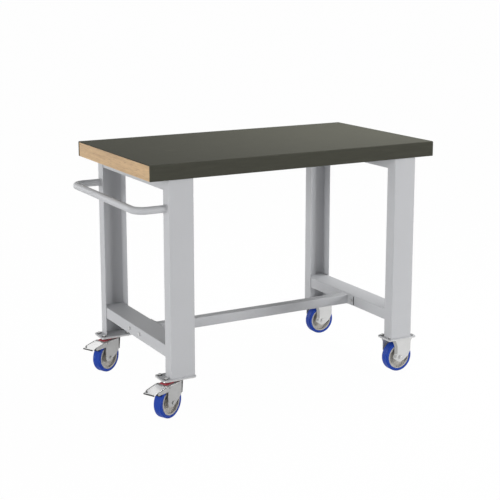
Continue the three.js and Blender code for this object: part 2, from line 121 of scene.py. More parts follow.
def softenEdges(piece, width, segments=2, angle=35):
    applyModifier(piece, "BEVEL", width=width * mm, segments=segments,
                  limit_method="ANGLE", angle_limit=math.radians(angle))


def thicken(piece, wall, **values):
    applyModifier(piece, "SOLIDIFY", thickness=wall * mm, offset=-1, **values)


def roundEdges(piece, test, radius, segments):
    selectParts(piece, "EDGE", test)
    bpy.ops.mesh.bevel(offset=radius * mm, segments=segments, affect="EDGES", clamp_overlap=True)
    leaveEdit()


def foldEnds(piece):
    # the ends of each edge that two faces share
    uses = {}
    for face in piece.data.polygons:
        for key in face.edge_keys:
            uses[key] = uses.get(key, 0) + 1
    corners = piece.data.vertices
    return [tuple(corners[i].co / mm for i in key) for key, count in uses.items() if count == 2]


def roundFolds(piece, folds, radius, segments):
    def isFold(a, b):
        return any((a - p).length + (b - q).length < samePoint or
                   (a - q).length + (b - p).length < samePoint for p, q in folds)

    roundEdges(piece, isFold, radius, segments)


def faceOutwards(piece):
    makeActive(piece)
    editAll()
    bpy.ops.mesh.remove_doubles(threshold=mergeGap * mm)
    bpy.ops.mesh.normals_make_consistent(inside=False)
    leaveEdit()


def extrudeBy(push):
    bpy.ops.mesh.extrude_region_move(TRANSFORM_OT_translate={"value": Vector(push) * mm})


def prism(name, points, push):
    piece = startOutline(name, points)
    editAll()
    extrudeBy(push)
    faceOutwards(piece)
    return piece


def spinAboutY(name, profile, steps):
    # profile holds (radius, along) pairs in a ring
    piece = startOutline(name, [(radius, along, 0) for radius, along in profile], filled=False)
    editAll()
    bpy.ops.mesh.spin(steps=steps, angle=2 * math.pi, center=(0, 0, 0), axis=(0, 1, 0))
    faceOutwards(piece)
    return piece


def joinPieces(first, *others):
    makeActive(first)
    for other in others:
        other.select_set(True)
    bpy.ops.object.join()
    return first


def copyTo(piece, name, matrix):
    # a copy with its own mesh, whose place is in the mesh
    other = bpy.data.objects.new(name, piece.data.copy())
    bpy.context.scene.collection.objects.link(other)
    other.data.transform(matrix)
    return other


def moveBy(x, y, z):
    return Matrix.Translation(Vector((x, y, z)) * mm)


def turnBy(degrees, axis):
    return Matrix.Rotation(math.radians(degrees), 4, axis)


def arc(x, z, radius, start, end, steps):
    angles = [math.radians(start + (end - start) * i / steps) for i in range(steps + 1)]
    return [(x + radius * math.cos(a), z + radius * math.sin(a)) for a in angles]


def ringAround(radius, steps):
    return arc(0, 0, radius, 0, 360, steps)[:-1]


def curve(a, b, c, steps):
    # a bend from a to c that leans towards b
    ts = [i / steps for i in range(steps + 1)]
    return [tuple((1 - t) ** 2 * p + 2 * t * (1 - t) * q + t * t * r for p, q, r in zip(a, b, c))
            for t in ts]


def markFaces(piece, test):
    # the test gives the number of each face's finish, where the main one is 0
    for face in piece.data.polygons:
        face.material_index = int(test(face.center / mm, face.normal))


def finishPiece(piece, body, finish, nodes=(), others=(), smooth=35):
    makeActive(piece)
    for each in (finish, *others):
        piece.data.materials.append(each)
    bpy.ops.object.shade_smooth_by_angle(angle=math.radians(smooth))
    applyModifier(piece, "WEIGHTED_NORMAL", keep_sharp=True)  # flat faces stay flat
    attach(piece, body)
    if nodes:
        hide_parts(*nodes)
    return piece


# Finishes: shared effects are node groups, the shaders stay in their materials


def addNode(tree, kind, inputs=None, **values):
    node = tree.nodes.new(kind)
    for key, value in values.items():
        setattr(node, key, value)
    for key, value in (inputs or {}).items():
        if isinstance(value, bpy.types.NodeSocket):
            tree.links.new(value, node.inputs[key])
        else:
            node.inputs[key].default_value = value
    return node


def addMath(tree, operation, a, b, **values):
    return addNode(tree, "ShaderNodeMath", {0: a, 1: b}, operation=operation, **values).outputs[0]


def stretch(tree, place, along):
    return addNode(tree, "ShaderNodeVectorMath", {0: place, 1: along}, operation="MULTIPLY").outputs[0]


def addNoise(tree, place, scale, detail, rough=0.5, wander=0.0):
    return addNode(tree, "ShaderNodeTexNoise", {
        "Vector": place, "Scale": scale, "Detail": detail, "Roughness": rough,
        "Distortion": wander}).outputs["Fac"]


def mixValues(tree, share, a, b):
    return addNode(tree, "ShaderNodeMix", {0: share, 2: a, 3: b}).outputs[0]


def mixColors(tree, share, a, b):
    return addNode(tree, "ShaderNodeMix", {0: share, 6: a, 7: b}, data_type="RGBA").outputs[2]


def mapRange(tree, value, span, results):
    limits = zip(("From Min", "From Max", "To Min", "To Max"), (*span, *results))
    return addNode(tree, "ShaderNodeMapRange", {"Value": value, **dict(limits)}).outputs["Result"]


def newGroup(name, inputs, outputs):
    group = bpy.data.node_groups.new(name, "ShaderNodeTree")
    for label, kind, value in inputs:
        socket = group.interface.new_socket(name=label, in_out="INPUT", socket_type="NodeSocket" + kind)
        if value is not None:
            socket.default_value = value
    for label, kind in outputs:
        group.interface.new_socket(name=label, in_out="OUTPUT", socket_type="NodeSocket" + kind)
    entry = group.nodes.new("NodeGroupInput").outputs
    leave = group.nodes.new("NodeGroupOutput").inputs
    return group, entry, leave


def useGroup(tree, group, inputs):
    return addNode(tree, "ShaderNodeGroup", inputs, node_tree=group).outputs


# Mottle: a slow drift between two shades, with fine grains over it
mottle = {"detail": 4.0, "rough": 0.6, "finer": 24.0, "fineDetail": 3.0}
mottleGroup, entry, leave = newGroup("mottle", [
    ("Place", "Vector", None), ("Scale", "Float", 20.0), ("Shade", "Color", (0.5, 0.5, 0.5, 1)),
    ("Other Shade", "Color", (0.6, 0.6, 0.6, 1)), ("Grain", "Float", 0.3)],
    [("Color", "Color"), ("Value", "Float")])
slow = addNoise(mottleGroup, entry["Place"], entry["Scale"], mottle["detail"], mottle["rough"])
fineScale = addMath(mottleGroup, "MULTIPLY", entry["Scale"], mottle["finer"])
fine = addNoise(mottleGroup, entry["Place"], fineScale, mottle["fineDetail"])
blend = mixValues(mottleGroup, entry["Grain"], slow, fine)
shades = mixColors(mottleGroup, blend, entry["Shade"], entry["Other Shade"])
mottleGroup.links.new(shades, leave["Color"])
mottleGroup.links.new(blend, leave["Value"])

# Scuffs: sparse short rubs, stretched along one way
scuffs = {"detail": 8.0, "rough": 0.72, "patchScale": 5.0, "patchDetail": 2.0, "half": 0.5, "sharp": 14.0}
scuffGroup, entry, leave = newGroup("scuffs", [
    ("Place", "Vector", None), ("Scale", "Float", 12.0), ("Stretch", "Vector", (1, 1, 0.2)),
    ("Cover", "Float", 0.62)], [("Mask", "Float")])
stretched = stretch(scuffGroup, entry["Place"], entry["Stretch"])
streaks = addNoise(scuffGroup, stretched, entry["Scale"], scuffs["detail"], scuffs["rough"])
patches = addNoise(scuffGroup, entry["Place"], scuffs["patchScale"], scuffs["patchDetail"])
both = addMath(scuffGroup, "ADD", streaks, patches)
halved = addMath(scuffGroup, "MULTIPLY", both, scuffs["half"])
over = addMath(scuffGroup, "SUBTRACT", halved, entry["Cover"])
sharp = addMath(scuffGroup, "MULTIPLY", over, scuffs["sharp"], use_clamp=True)
scuffGroup.links.new(sharp, leave["Mask"])

# Peel: the low bumps of a sprayed or moulded skin
peelGroup, entry, leave = newGroup("peel", [
    ("Place", "Vector", None), ("Scale", "Float", 500.0), ("Pits", "Float", 0.3)], [("Height", "Float")])
waves = addNoise(peelGroup, entry["Place"], entry["Scale"], detail=2.0)
cells = addNode(peelGroup, "ShaderNodeTexVoronoi", {"Vector": entry["Place"], "Scale": entry["Scale"]})
pitted = mixValues(peelGroup, entry["Pits"], waves, cells.outputs["Distance"])
peelGroup.links.new(pitted, leave["Height"])


def newFinish(name, roughness, metallic, specular):
    finish = bpy.data.materials.new(name)
    finish.use_nodes = True
    tree = finish.node_tree
    shader = tree.nodes["Principled BSDF"]
    shader.inputs["Metallic"].default_value = metallic
    shader.inputs["Specular IOR Level"].default_value = specular
    shader.inputs["Roughness"].default_value = roughness
    place = addNode(tree, "ShaderNodeTexCoord").outputs["Object"]
    return finish, tree, shader, place


def addBump(tree, shader, height, strength, depth):
    bump = addNode(tree, "ShaderNodeBump", {"Height": height, "Strength": strength, "Distance": depth * mm})
    tree.links.new(bump.outputs["Normal"], shader.inputs["Normal"])


# What each coat has unless its own look differs
usualLook = {"along": (1, 1, 1), "grain": 0.5, "roughFrom": (0.3, 0.7), "roughSpan": 0.08, "metal": 0.0,
             "shine": 0.5, "rubAlong": (1, 1, 1), "rubCover": 0.6, "peelScale": 1500.0, "pits": 0.5,
             "bump": 0.1, "depth": 0.2}


def coatedFinish(name, ownLook):
    # a skin of one colour: mottled, a little scuffed, with a peel
    look = {**usualLook, **ownLook}
    finish, tree, shader, place = newFinish(name, look["rough"], look["metal"], look["shine"])
    skin = useGroup(tree, mottleGroup, {
        "Place": stretch(tree, place, look["along"]), "Scale": look["scale"], "Grain": look["grain"],
        "Shade": (*look["shade"], 1), "Other Shade": (*look["other"], 1)})
    rubs = useGroup(tree, scuffGroup, {"Place": place, "Scale": look["rubScale"],
                                       "Stretch": look["rubAlong"], "Cover": look["rubCover"]})
    rubbed = mixColors(tree, rubs["Mask"], skin["Color"], (*look["rubShade"], 1))
    tree.links.new(rubbed, shader.inputs["Base Color"])
    roughTo = (look["rough"] - look["roughSpan"], look["rough"] + look["roughSpan"])
    rough = mapRange(tree, skin["Value"], look["roughFrom"], roughTo)
    tree.links.new(rough, shader.inputs["Roughness"])
    peel = useGroup(tree, peelGroup, {"Place": place, "Scale": look["peelScale"], "Pits": look["pits"]})
    addBump(tree, shader, peel["Height"], look["bump"], look["depth"])
    return finish


framePaint = coatedFinish("lightGreyPaint", {
    "shade": (0.478, 0.484, 0.499), "other": (0.513, 0.519, 0.535), "grain": 0.25, "scale": 6.0,
    "rough": 0.52, "roughSpan": 0.06, "shine": 0.32, "rubScale": 16.0, "rubAlong": (1, 1, 0.25),
    "rubCover": 0.63, "rubShade": (0.43, 0.43, 0.425), "peelScale": 900.0, "pits": 0.2, "bump": 0.12,
    "depth": 0.4})
zincFinish = coatedFinish("brightZinc", {
    "shade": (0.52, 0.52, 0.515), "other": (0.64, 0.64, 0.635), "grain": 0.45, "scale": 30.0,
    "rough": 0.34, "metal": 0.55, "rubScale": 40.0, "rubAlong": (1, 0.3, 0.3),
    "rubShade": (0.42, 0.42, 0.42), "depth": 0.3})
# Painted shade: a darker copy of the bright zinc, for the fork, its axle bolt and the pedal's skirts,
# standing in for the dark surroundings that the plating reflects
shadedZincFinish = coatedFinish("paintedShadeZinc", {
    "shade": (0.36, 0.36, 0.357), "other": (0.47, 0.47, 0.466), "grain": 0.45, "scale": 30.0,
    "along": (1, 1, 0.4), "rough": 0.36, "metal": 0.45, "rubScale": 40.0, "rubAlong": (1, 0.3, 0.3),
    "rubShade": (0.3, 0.3, 0.298), "depth": 0.3})
# Painted highlight: a lighter copy of the zinc, so the pedal deck reads near white as under a strong top
# light
pedalFinish = coatedFinish("polishedHighlightZinc", {
    "shade": (0.84, 0.84, 0.835), "other": (0.92, 0.92, 0.915), "grain": 0.4, "scale": 35.0,
    "rough": 0.17, "roughSpan": 0.04, "metal": 0.85, "rubScale": 45.0, "rubAlong": (0.3, 1, 1),
    "rubShade": (0.6, 0.6, 0.595), "bump": 0.06})
fastenerAndShadeZinc = coatedFinish("zincFasteners", {
    "shade": (0.27, 0.27, 0.265), "other": (0.46, 0.46, 0.45), "scale": 60.0,
    "rough": 0.34, "roughSpan": 0.1, "metal": 0.8, "rubScale": 80.0, "rubShade": (0.3, 0.3, 0.29),
    "peelScale": 2000.0})
# Painted shade: a near-black steel laid on faces that stand in for shade, at the stretcher plates' ends,
# the castor washers, the fork's rear wall and the pedal's lip, gutters and stud head
shadeSteelFinish = coatedFinish("paintedShadeSteel", {
    "shade": (0.035, 0.035, 0.034), "other": (0.065, 0.065, 0.063), "scale": 50.0,
    "rough": 0.62, "shine": 0.12, "rubScale": 70.0, "rubAlong": (1, 1, 0.4), "rubShade": (0.2, 0.2, 0.2),
    "peelScale": 1600.0})
tyreFinish = coatedFinish("blueTread", {
    "shade": (0.007, 0.040, 0.30), "other": (0.013, 0.058, 0.38), "grain": 0.3, "scale": 25.0,
    "rough": 0.5, "shine": 0.2, "rubScale": 45.0, "rubAlong": (1, 0.3, 1), "rubShade": (0.07, 0.14, 0.42),
    "peelScale": 1100.0, "pits": 0.4, "bump": 0.15, "depth": 0.3})
hubFinish = coatedFinish("greyNylonHub", {
    "shade": (0.40, 0.385, 0.36), "other": (0.47, 0.452, 0.42), "grain": 0.35, "scale": 22.0,
    "rough": 0.52, "shine": 0.45, "rubScale": 50.0, "rubCover": 0.61, "rubShade": (0.27, 0.25, 0.22),
    "peelScale": 1300.0, "pits": 0.35, "bump": 0.12, "depth": 0.3})
sealFinish = coatedFinish("redSeal", {
    "shade": (0.43, 0.035, 0.055), "other": (0.5, 0.05, 0.075), "grain": 0.3, "scale": 40.0,
    "rough": 0.45, "rubScale": 60.0, "rubCover": 0.61, "rubShade": (0.35, 0.06, 0.07), "pits": 0.3})
shoeFinish = coatedFinish("blackRubber", {
    "shade": (0.018, 0.018, 0.018), "other": (0.032, 0.032, 0.031), "grain": 0.4, "scale": 40.0,
    "rough": 0.75, "shine": 0.35, "rubScale": 60.0, "rubShade": (0.05, 0.05, 0.05),
    "peelScale": 900.0, "bump": 0.25, "depth": 0.4})
coverFinish = coatedFinish("oliveCover", {
    "shade": (0.032, 0.032, 0.025), "other": (0.086, 0.086, 0.068), "scale": 80.0,
    "along": (0.11, 1, 1), "rough": 0.85, "roughSpan": 0.06, "shine": 0.08, "rubScale": 12.0,
    "rubAlong": (0.3, 1, 1), "rubCover": 0.64, "rubShade": (0.075, 0.074, 0.058), "peelScale": 700.0,
    "pits": 0.6, "bump": 0.35, "depth": 0.5})

# Beech edge: long grain that runs along the end, with growth lines and short dark pores
beech = {"pale": (0.565, 0.378, 0.19), "dark": (0.40, 0.25, 0.118), "pore": (0.23, 0.135, 0.07),
         "rough": 0.5, "shine": 0.4, "bands": (0.36, 0.64), "broadShare": 0.4,
         "lineAlong": (1.0, 0.028, 1.0), "lineScale": 170.0, "lineDetail": 5.0, "lineRough": 0.65,
         "lineWander": 0.4, "broadAlong": (1.0, 0.12, 1.0), "broadScale": 30.0, "broadDetail": 2.0,
         "poreAlong": (1.0, 0.07, 1.0), "poreScale": 420.0, "poreDetail": 1.0, "poreFrom": (0.56, 0.68),
         "poreMost": 0.42, "bump": 0.12, "depth": 0.4}


def makeBeech(look):
    finish, tree, shader, place = newFinish("beechEdge", look["rough"], metallic=0.0,
                                            specular=look["shine"])
    lines = addNoise(tree, stretch(tree, place, look["lineAlong"]), look["lineScale"], look["lineDetail"],
                     look["lineRough"], look["lineWander"])
    broad = addNoise(tree, stretch(tree, place, look["broadAlong"]), look["broadScale"],
                     look["broadDetail"])
    grain = mixValues(tree, look["broadShare"], lines, broad)
    bands = addNode(tree, "ShaderNodeValToRGB", {"Fac": grain})
    for stop, position, shade in zip(bands.color_ramp.elements, look["bands"], ("pale", "dark")):
        stop.position = position
        stop.color = (*look[shade], 1)
    pores = addNoise(tree, stretch(tree, place, look["poreAlong"]), look["poreScale"], look["poreDetail"])
    poreMask = mapRange(tree, pores, look["poreFrom"], (0, look["poreMost"]))
    shade = mixColors(tree, poreMask, bands.outputs["Color"], (*look["pore"], 1))
    tree.links.new(shade, shader.inputs["Base Color"])
    addBump(tree, shader, lines, look["bump"], look["depth"])
    return finish


beechFinish = makeBeech(beech)
print("finishes made:", len(bpy.data.materials))

# Worktop: a wooden core in a cover; each soft entry below is a width, segments and an angle
worktop = {"half": 625, "depth": 350, "under": 900, "top": 960, "coverTop": 4, "coverEdge": 9,
           "topRadius": 5, "bottomRadius": 3, "seam": 0.3, "coreInset": 0.5,
           "coverSoft": (0.7, 2, 50), "coreSoft": (0.6, 2)}


def makeWorktop(size):
    half, depth = size["half"], size["depth"]
    inner = depth - size["coverEdge"]
    low, high = size["under"], size["top"]
    coreTop = high - size["coverTop"]
    upper, lower = size["topRadius"], size["bottomRadius"]
    ring = [(-inner, low)]
    ring += arc(-depth + lower, low + lower, lower, 270, 180, steps=6)
    ring += arc(-depth + upper, high - upper, upper, 180, 90, steps=10)
    ring += arc(depth - upper, high - upper, upper, 90, 0, steps=10)
    ring += arc(depth - lower, low + lower, lower, 0, -90, steps=6)
    ring += [(inner, low), (inner, coreTop), (-inner, coreTop)]
    cover = prism("tableCover", [(-half, y, z) for y, z in ring], (2 * half, 0, 0))
    softenEdges(cover, *size["coverSoft"])
    finishPiece(cover, "table", coverFinish, ["worktop_cover"])
    end, edge = half - size["coreInset"], inner - size["seam"]
    core = startBox("tableCore", (-end, -edge, low), (end, edge, coreTop - size["seam"]))
    softenEdges(core, *size["coreSoft"])
    markFaces(core, lambda middle, normal: normal.z < -squareOn)  # the underside is backed like the top
    finishPiece(core, "table", beechFinish, ["worktop_core"], (coverFinish,))


makeWorktop(worktop)
print("worktop made")


def paintPiece(piece, *nodes, others=(), smooth=35):
    return finishPiece(piece, "table", framePaint, nodes, others, smooth)


# Folded steel frame
steel = {"wall": 2.5, "bend": 4, "edge": 0.5, "legFace": 338, "legFlange": 50, "legX": (448, 548),
         "legZ": (150, 900), "railX": (450.8, 545.2), "railEnd": 333.7, "topRailZ": (854.7, 899.7),
         "crossbarZ": (222, 267)}


def foldChannel(name, low, high, openSides, size):
    # a box with its open sides taken away, its folds rounded and its wall thickened inwards
    piece = startBox(name, low, high)
    selectParts(piece, "FACE", lambda middle, normal: any(
        normal.dot(Vector(way)) > squareOn for way in openSides))
    bpy.ops.mesh.delete(type="FACE")
    leaveEdit()
    roundFolds(piece, foldEnds(piece), size["bend"], segments=6)
    thicken(piece, size["wall"], use_even_offset=True)
    softenEdges(piece, size["edge"], segments=2, angle=50)
    return piece


def makeFrame(size):
    upDown = [(0, 0, 1), (0, 0, -1)]
    for side, end in ends:
        xs = sorted(side * x for x in size["legX"])
        for facing, row in rows:
            ys = sorted((facing * size["legFace"], facing * (size["legFace"] - size["legFlange"])))
            leg = foldChannel("leg_%s_%s_folded" % (row, end), (xs[0], ys[0], size["legZ"][0]),
                              (xs[1], ys[1], size["legZ"][1]), upDown + [(0, -facing, 0)], size)
            paintPiece(leg, "leg_%s_%s" % (row, end))
        rails = sorted(side * x for x in size["railX"])
        for label, node in (("topRailZ", "top_rail"), ("crossbarZ", "crossbar")):
            rail = foldChannel("%s_%s_folded" % (node, end), (rails[0], -size["railEnd"], size[label][0]),
                               (rails[1], size["railEnd"], size[label][1]),
                               [(0, 0, -1), (0, 1, 0), (0, -1, 0)], size)
            paintPiece(rail, "%s_%s" % (node, end))


makeFrame(steel)
print("end frames folded")

# Stretcher tube and its end plates
tube = {"half": 446.2, "side": 20, "middle": 244.5, "wall": 2, "bend": 3.5, "edge": 0.3,
        "plateX": (446.5, 450.5), "plateY": 59, "plateZ": 21, "plateCorner": 4, "plateSoft": 0.6}


def makeStretcher(size):
    middle, across, half = size["middle"], size["side"], size["half"]
    plateY, plateZ = size["plateY"], size["plateZ"]
    piece = foldChannel("stretcherTube", (-half, -across, middle - across),
                        (half, across, middle + across), [(1, 0, 0), (-1, 0, 0)], size)
    paintPiece(piece, "stretcher")
    for side, end in ends:
        xs = sorted(side * x for x in size["plateX"])
        plate = startBox("stretcherPlate_" + end, (xs[0], -plateY, middle - plateZ),
                         (xs[1], plateY, middle + plateZ))
        roundEdges(plate, lambda a, b: abs(a.x - b.x) > slack, size["plateCorner"], segments=6)
        softenEdges(plate, size["plateSoft"])
        markFaces(plate, lambda place, normal: abs(normal.y) > squareOn)  # painted shade: the plate's ends take the near-black steel, for the shadowed gap there
        paintPiece(plate, "stretcher_plate_" + end, others=(shadeSteelFinish,))


makeStretcher(tube)
print("stretcher made")

# Push handle: a round tube, pushed straight and spun round its two bends
handle = {"radius": 14, "wall": 2, "start": -548.3, "bar": -665, "half": 313, "bend": 44, "height": 791,
          "facets": 32, "bendSteps": 16}


def makeHandle(size):
    start, height = size["start"], size["height"]
    ring = [(start, -size["half"] + y, height + z) for y, z in ringAround(size["radius"], size["facets"])]
    piece = startOutline("pushHandle", ring, filled=False)
    editAll()
    bendX = size["bar"] + size["bend"]
    bendY = size["half"] - size["bend"]

    def bendAt(y):
        bpy.ops.mesh.spin(steps=size["bendSteps"], angle=math.pi / 2, axis=(0, 0, 1),
                          center=(bendX * mm, y * mm, height * mm))

    extrudeBy((bendX - start, 0, 0))
    bendAt(-bendY)
    extrudeBy((0, 2 * bendY, 0))
    bendAt(bendY)
    extrudeBy((start - bendX, 0, 0))
    faceOutwards(piece)
    thicken(piece, size["wall"])
    paintPiece(piece, "push_handle")


makeHandle(handle)
print("handle bent")

# Welds: a rippled bead laid along a line of points
weld = {"handle": 2.2, "handleIn": 0.7, "handleOut": 0.6, "handleSteps": 40, "foot": 1.6, "footUp": 0.5,
        "footShort": 2, "stretcher": 1.8, "stretcherIn": 0.2, "step": 4, "ripple": 1.6, "rippleScale": 4,
        "rippleMiddle": 0.5, "facets": 2, "smooth": 60}
ripples = bpy.data.textures.new("weldRipples", "CLOUDS")
ripples.noise_scale = weld["rippleScale"] * mm


def layBead(name, points, closed, radius):
    line = bpy.data.curves.new(name, "CURVE")
    line.dimensions = "3D"
    line.bevel_depth = radius * mm
    line.bevel_resolution = weld["facets"]
    line.use_fill_caps = True
    spline = line.splines.new("POLY")
    spline.points.add(len(points) - 1)
    spline.use_cyclic_u = closed
    for corner, point in zip(spline.points, points):
        corner.co = (*(Vector(point) * mm), 1)
    bead = bpy.data.objects.new(name, line)
    bpy.context.scene.collection.objects.link(bead)
    makeActive(bead)
    bpy.ops.object.convert(target="MESH")
    bead = bpy.context.object
    faceOutwards(bead)
    applyModifier(bead, "DISPLACE", texture=ripples, strength=weld["ripple"] * mm,
                  mid_level=weld["rippleMiddle"], texture_coords="LOCAL")
    return paintPiece(bead, smooth=weld["smooth"])


def stepsAlong(corners):
    # points along each line between corners, without the last corner
    points = []
    for a, b in zip(map(Vector, corners), map(Vector, corners[1:])):
        count = max(2, int((b - a).length / weld["step"]))
        points += [a.lerp(b, i / count) for i in range(count)]
    return points


def makeWelds(size):
    handleX = handle["start"] - size["handleIn"]
    handleRing = ringAround(handle["radius"] + size["handleOut"], size["handleSteps"])
    z = steel["legZ"][0] + size["footUp"]
    for facing, row in rows:
        ring = [(handleX, facing * handle["half"] + y, handle["height"] + z) for y, z in handleRing]
        layBead("weld_handle_" + row, ring, True, size["handle"])
        near = facing * (steel["legFace"] - steel["legFlange"] + size["footShort"])
        far = facing * steel["legFace"]
        for side, end in ends:
            inX, outX = (side * x for x in steel["legX"])
            corners = [(inX, near, z), (inX, far, z), (outX, far, z), (outX, near, z)]
            layBead("weld_foot_%s_%s" % (row, end), stepsAlong(corners) + corners[-1:], False, size["foot"])
    half, low, high = tube["side"], tube["middle"] - tube["side"], tube["middle"] + tube["side"]
    for side, end in ends:
        x = side * (tube["half"] - size["stretcherIn"])
        corners = [(x, -half, low), (x, half, low), (x, half, high), (x, -half, high), (x, -half, low)]
        layBead("weld_stretcher_" + end, stepsAlong(corners), True, size["stretcher"])


makeWelds(weld)
print("welds laid")

# Hexagon bolts, each modelled once along +Z and copied
bolts = {"facets": 24, "hexSoft": (0.7, 2, 45), "rodChamfer": 0.6}


def makeHex(name, radius, low, high):
    clearSelection()
    bpy.ops.mesh.primitive_cylinder_add(vertices=6, radius=radius * mm, depth=(high - low) * mm,
                                        location=(0, 0, (high + low) / 2 * mm))
    bpy.ops.object.transform_apply(location=True)
    piece = bpy.context.object
    piece.name = name
    softenEdges(piece, *bolts["hexSoft"])
    return piece


def makeRing(name, inner, outer, low, high, chamfer, facets):
    profile = [(inner, low), (outer - chamfer, low), (outer, low + chamfer), (outer, high - chamfer),
               (outer - chamfer, high), (inner, high)]
    piece = spinAboutY(name, profile, facets)
    piece.data.transform(turnBy(90, "X"))
    return piece


def makeRod(name, radius, low, high):
    return makeRing(name, pole, radius, low, high, bolts["rodChamfer"], bolts["facets"])


# Stretcher bolts run along X through the crossbars
stretcherBolt = {"radius": 4, "hex": 7.4, "head": (545.5, 550.6), "headIn": 1, "nut": (439.7, 446.2),
                 "end": 435.7, "y": 48, "z": 244.5}


def makeStretcherBolts(size):
    bolt = joinPieces(makeHex("boltHead", size["hex"], *size["head"]),
                      makeRod("boltShank", size["radius"], size["end"], size["head"][0] + size["headIn"]),
                      makeHex("boltNut", size["hex"], *size["nut"]))
    for side, end in ends:
        for facing, row in rows:
            place = moveBy(0, facing * size["y"], size["z"]) @ turnBy(side * 90, "Y")
            piece = copyTo(bolt, "stretcherBolt_%s_%s" % (row, end), place)
            finishPiece(piece, "table", zincFinish, ["stretcher_bolt_%s_%s" % (row, end)])
    bpy.data.objects.remove(bolt)


makeStretcherBolts(stretcherBolt)
print("stretcher bolts in")

# Foot plates under the legs, with the castors' plates below them
feet = {"left": -512, "right": 504, "y": 300, "half": (67.5, 42.5), "corner": 8, "soft": 0.6,
        "holes": (52.5, 27), "foot": (146, 149.7), "castor": (142, 145.7)}


def makePlate(name, level):
    halfX, halfY = feet["half"]
    low, high = feet[level]
    piece = startBox(name, (-halfX, -halfY, low), (halfX, halfY, high))
    roundEdges(piece, lambda a, b: abs(a.z - b.z) > slack, feet["corner"], segments=8)
    softenEdges(piece, feet["soft"])
    return piece


# Castor bolt: heights above the foot plate, or below the castor plate for its tail and nut
castorBolt = {"hex": 6.6, "head": (1.5, 6.5), "washer": (3.8, 8.4), "washerTop": 1.6, "chamfer": 0.3,
              "facets": 32, "shank": 3.9, "shankTop": 2, "tail": 4.8, "nut": 4.3, "ringShadeFrom": 5.8}


def makeCastorBolt(size):
    low, high = feet["castor"][0], feet["foot"][1]
    washerTop = high + size["washerTop"]
    bolt = joinPieces(makeHex("castorBolt", size["hex"], *(high + z for z in size["head"])),
                      makeRing("castorWasher", *size["washer"], high, washerTop, size["chamfer"],
                               size["facets"]),
                      makeRod("castorShank", size["shank"], low - size["tail"], high + size["shankTop"]),
                      makeHex("castorNut", size["hex"], low - size["nut"], low))
    markFaces(bolt, lambda middle, normal: math.hypot(middle.x, middle.y) > size["ringShadeFrom"]
              and middle.z < washerTop + slack)  # painted shade: the washers take the near-black steel, for the shaded ring round each head
    return bolt


def makeFeet(size):
    foot, bolt = makePlate("footPlate", "foot"), makeCastorBolt(castorBolt)
    holeX, holeY = size["holes"]
    for facing, row in rows:
        for end in ("left", "right"):
            middle = moveBy(size[end], facing * size["y"], 0)
            plate = copyTo(foot, "footPlate_%s_%s" % (row, end), middle)
            paintPiece(plate, "foot_plate_%s_%s" % (row, end))
            for number, (signX, signY) in enumerate(((-1, -1), (1, -1), (1, 1), (-1, 1))):
                spot = middle @ moveBy(signX * holeX, signY * holeY, 0)
                piece = copyTo(bolt, "castorBolt_%s_%s_%d" % (row, end, number + 1), spot)
                finishPiece(piece, "table", zincFinish, others=(shadeSteelFinish,))
    bpy.data.objects.remove(foot)
    bpy.data.objects.remove(bolt)


makeFeet(feet)
print("feet bolted")

# Wheels about Y: tyre and hub
wheel = {"tread": 62.5, "rim": 50.5, "halfTread": 18, "shoulder": 5, "lip": 0.6, "hubHalf": 23.5,
         "boss": 19, "bossRound": 2, "bore": 8.4, "web": 6, "webRound": 4, "rimGap": 0.3, "rimWall": 6,
         "rimChamfer": 1, "facets": 96}


def makeTyre(size):
    half, tread, rim = size["halfTread"], size["tread"], size["rim"]
    lip, bend = size["lip"], size["shoulder"]
    ring = [(rim, -half + lip), (rim + lip, -half)]
    ring += arc(tread - bend, -half + bend, bend, 270, 360, steps=8)
    ring += arc(tread - bend, half - bend, bend, 0, 90, steps=8)
    ring += [(rim + lip, half), (rim, half - lip)]
    return spinAboutY("tyre", ring, size["facets"])


def makeHub(size):
    half, boss, hubHalf = size["halfTread"], size["boss"], size["hubHalf"]
    tip, bend, chamfer = size["bossRound"], size["webRound"], size["rimChamfer"]
    rimOut = size["rim"] - size["rimGap"]
    rimIn = rimOut - size["rimWall"]
    webTop = size["web"] + bend
    side = [(size["bore"], hubHalf), (boss - tip, hubHalf)]
    side += arc(boss - tip, hubHalf - tip, tip, 75, 0, steps=4)
    side += arc(boss + bend, webTop, bend, 180, 270, steps=5)
    side += arc(rimIn - bend, webTop, bend, 270, 360, steps=5)
    side += [(rimIn, half - chamfer), (rimIn + chamfer, half), (rimOut - chamfer, half),
             (rimOut, half - chamfer)]
    ring = side + [(radius, -along) for radius, along in reversed(side)]
    return spinAboutY("hub", ring, size["facets"])


# Axle bolt and nut, along Y from the wheel's middle
axle = {"hex": 7.4, "head": (-33.4, -28.3), "shank": 3.9, "shankEnds": (-30, 37.2), "nut": (28.3, 35.3)}


def makeAxle(size):
    bolt = joinPieces(makeHex("axleHead", size["hex"], *size["head"]),
                      makeRod("axleShank", size["shank"], *size["shankEnds"]))
    nut = makeHex("axleNut", size["hex"], *size["nut"])
    for piece in (bolt, nut):
        piece.data.transform(turnBy(-90, "X"))
    return bolt, nut


# Castor parts in their own frame: X away from the pedal, kingpin or plate middle at the origin
castor = {"turn": 26, "trail": 50, "axle": 62.5, "outer": 28, "top": 134, "front": -78, "wall": 46,
          "wallLean": 0.68, "boss": 12, "bossTurn": 324, "cheekLean": (-12, 8), "fold": 4, "sheet": 3,
          "soft": (0.6, 2, 45), "wallShadeFrom": 0.5}


